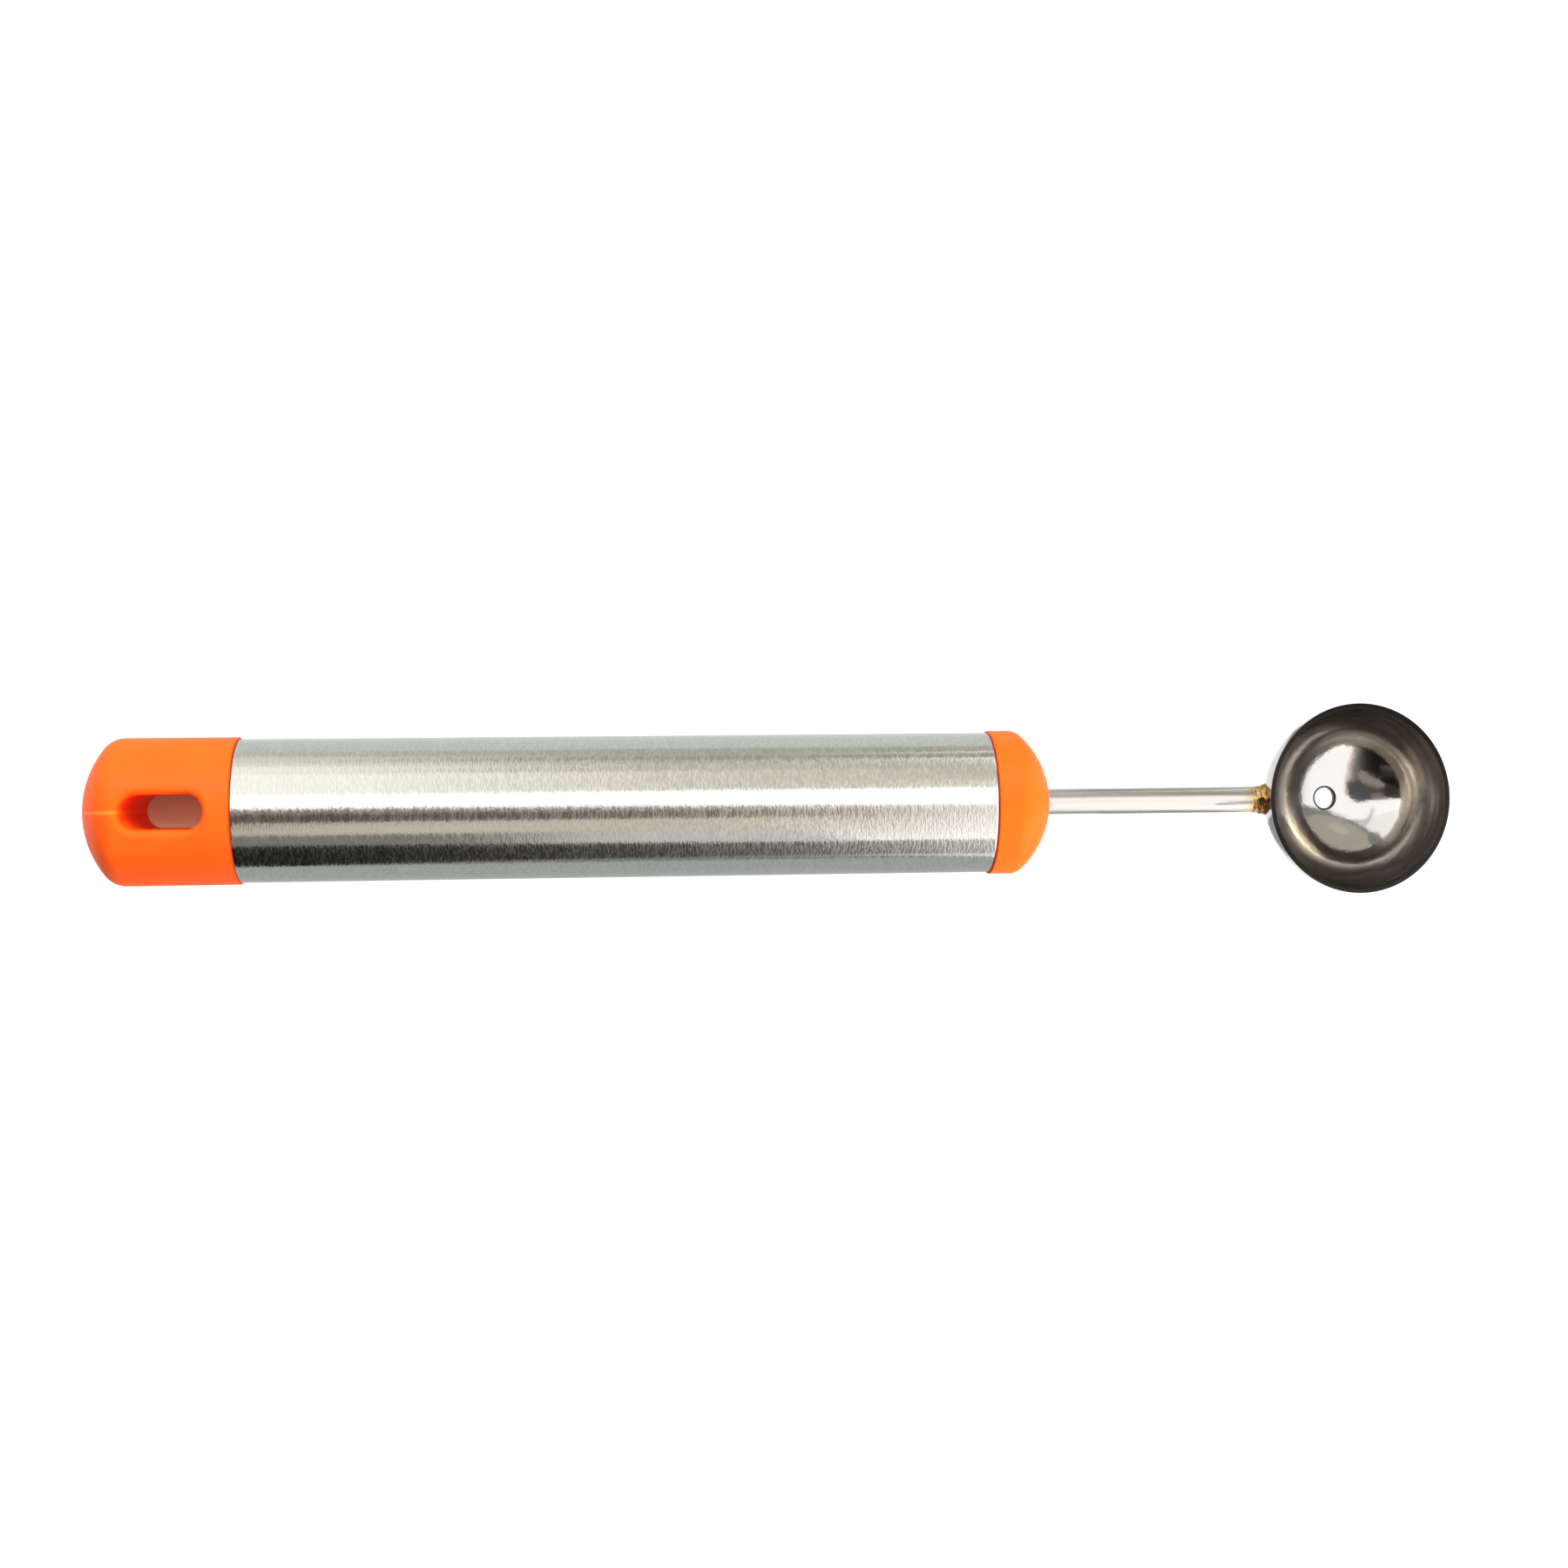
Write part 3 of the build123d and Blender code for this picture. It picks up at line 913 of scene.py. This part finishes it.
def light_table(looks):
    """A pale floor that is lit from below.

    Under the rear cap its glow gives way to a painted shadow, with a faint painted orange glow for the light
    that the cap lets through.
    """
    sheet = Sheet("light_table")
    place = sheet.place()
    mottle = sheet.noise(place, 9, 3.0, 0.5)
    along, across = sheet.axis(place, "X"), sheet.axis(place, "Y")
    # painted shadow: under the rear cap the floor's glow is cut
    under = along.over(REAR_LOW.x + 2 * MM, MM) - along.over(TUBE_LOW.x, MM)
    under = under * (1 - abs(across).over(TUBE_RADIUS * 0.8, MM))
    shade = sheet.mix(mottle, [c * 0.98 for c in looks.floor], looks.floor)
    # the painted orange glow, which stands for the light that the cap lets through, is stronger on its front
    # side
    front = sheet.clamp(0.5 - across / (4.4 * MM))
    below = sheet.mix(front, [c * 0.45 for c in looks.painted_glow_below], [c * 1.6 for c in looks.painted_glow_below])
    return sheet.principled(
        Base_Color=sheet.mix(under, shade, looks.floor_below),
        Roughness=0.9,
        Specular_IOR_Level=0.0,
        Emission_Color=sheet.mix(under, (1, 1, 1), below),
        Emission_Strength=looks.floor_glow,
    )


class SetStage(bpy.types.Operator):
    """Lays the floor, hangs the cards and lights, and sets the camera"""

    bl_idname = "baller.set_stage"
    bl_label = "Floor, lights and camera"

    def execute(self, context):
        looks = context.scene.baller_stage
        scene = context.scene
        scene.view_settings.view_transform = "Standard"
        half = looks.floor_side / 2
        sheet_of("floor", level(-half, half, -half, half, 0), light_table(looks))
        backdrop = Sheet("backdrop").glow((1, 1, 1), looks.backdrop)
        for i in range(4):
            turn = Matrix.Rotation(i * pi / 2, 3, "Z")
            corners = [turn @ Vector(corner) for corner in upright(-half, half, half, half)]
            only_in_view(sheet_of(f"backdrop_{i + 1}", corners, backdrop))
        for name, (corners, colour, strength) in CARDS.items():
            glossy_only(sheet_of(name, corners, card_glow(name, colour, strength)))
        self.light_sky(scene, looks)
        self.hang_lamp(scene, "soft_key", (0.05, 0.35, 0.45), (0.7, 0.35), looks.key)
        self.hang_lamp(scene, "soft_fill", (0.13, -0.13, 0.07), (0.08, 0.08), looks.fill)
        self.set_camera(scene, looks)
        return {"FINISHED"}

    def light_sky(self, scene, looks):
        world = bpy.data.worlds.new("even_light")
        world.use_nodes = True
        background = world.node_tree.nodes["Background"]
        background.inputs["Color"].default_value = (1.0, 0.99, 0.975, 1)
        background.inputs["Strength"].default_value = looks.sky
        scene.world = world

    def hang_lamp(self, scene, name, place, sides, power):
        """A soft lamp that is aimed at the handle, and that shiny surfaces don't see."""
        lamp = bpy.data.lights.new(name, "AREA")
        lamp.shape = "RECTANGLE"
        lamp.size, lamp.size_y = sides
        lamp.energy = power
        light = bpy.data.objects.new(name, lamp)
        light.location = place
        light.rotation_euler = (-Vector(place)).to_track_quat("-Z", "Y").to_euler()
        light.visible_glossy = False
        light.visible_camera = False
        scene.collection.objects.link(light)

    def set_camera(self, scene, looks):
        camera = bpy.data.cameras.new("camera")
        camera.sensor_width = 36
        camera.lens = camera.sensor_width * looks.focal_share
        camera.clip_start = 0.01
        eye = bpy.data.objects.new("camera", camera)
        x, y, z = looks.camera_turn
        turn = Matrix.Rotation(z, 3, "Z") @ Matrix.Rotation(y, 3, "Y") @ Matrix.Rotation(x, 3, "X")
        place = (TUBE_LOW.x + looks.camera_along, looks.camera_aside, AXIS_HEIGHT + looks.camera_height)
        eye.matrix_world = Matrix.Translation(place) @ turn.transposed().to_4x4()
        scene.collection.objects.link(eye)
        scene.camera = eye


class BallerPanel(bpy.types.Panel):
    """The melon baller's settings and steps"""

    bl_idname = "VIEW3D_PT_baller"
    bl_label = "Melon Baller"
    bl_space_type = "VIEW_3D"
    bl_region_type = "UI"
    bl_category = "Baller"

    def draw(self, context):
        for name, group, operator in STEPS:
            box = self.layout.box()
            settings = getattr(context.scene, name)
            for key in group.__annotations__:
                box.prop(settings, key)
            box.operator(operator.bl_idname)


STEPS = (
    ("baller_tube", TubeSettings, MakeTube),
    ("baller_caps", CapSettings, DressCaps),
    ("baller_rod", RodSettings, DressRod),
    ("baller_weld", WeldSettings, MakeWeld),
    ("baller_bowl", BowlSettings, MakeBowl),
    ("baller_stage", StageSettings, SetStage),
)


def register():
    for name, group, operator in STEPS:
        bpy.utils.register_class(group)
        bpy.utils.register_class(operator)
        setattr(bpy.types.Scene, name, PointerProperty(type=group))
    bpy.utils.register_class(BallerPanel)


def unregister():
    bpy.utils.unregister_class(BallerPanel)
    for name, group, operator in reversed(STEPS):
        delattr(bpy.types.Scene, name)
        bpy.utils.unregister_class(operator)
        bpy.utils.unregister_class(group)


def main():
    register()
    bpy.ops.baller.make_tube()
    bpy.ops.baller.dress_caps()
    bpy.ops.baller.dress_rod()
    bpy.ops.baller.make_weld()
    bpy.ops.baller.make_bowl()
    bpy.ops.baller.set_stage()


if __name__ == "__main__":
    main()
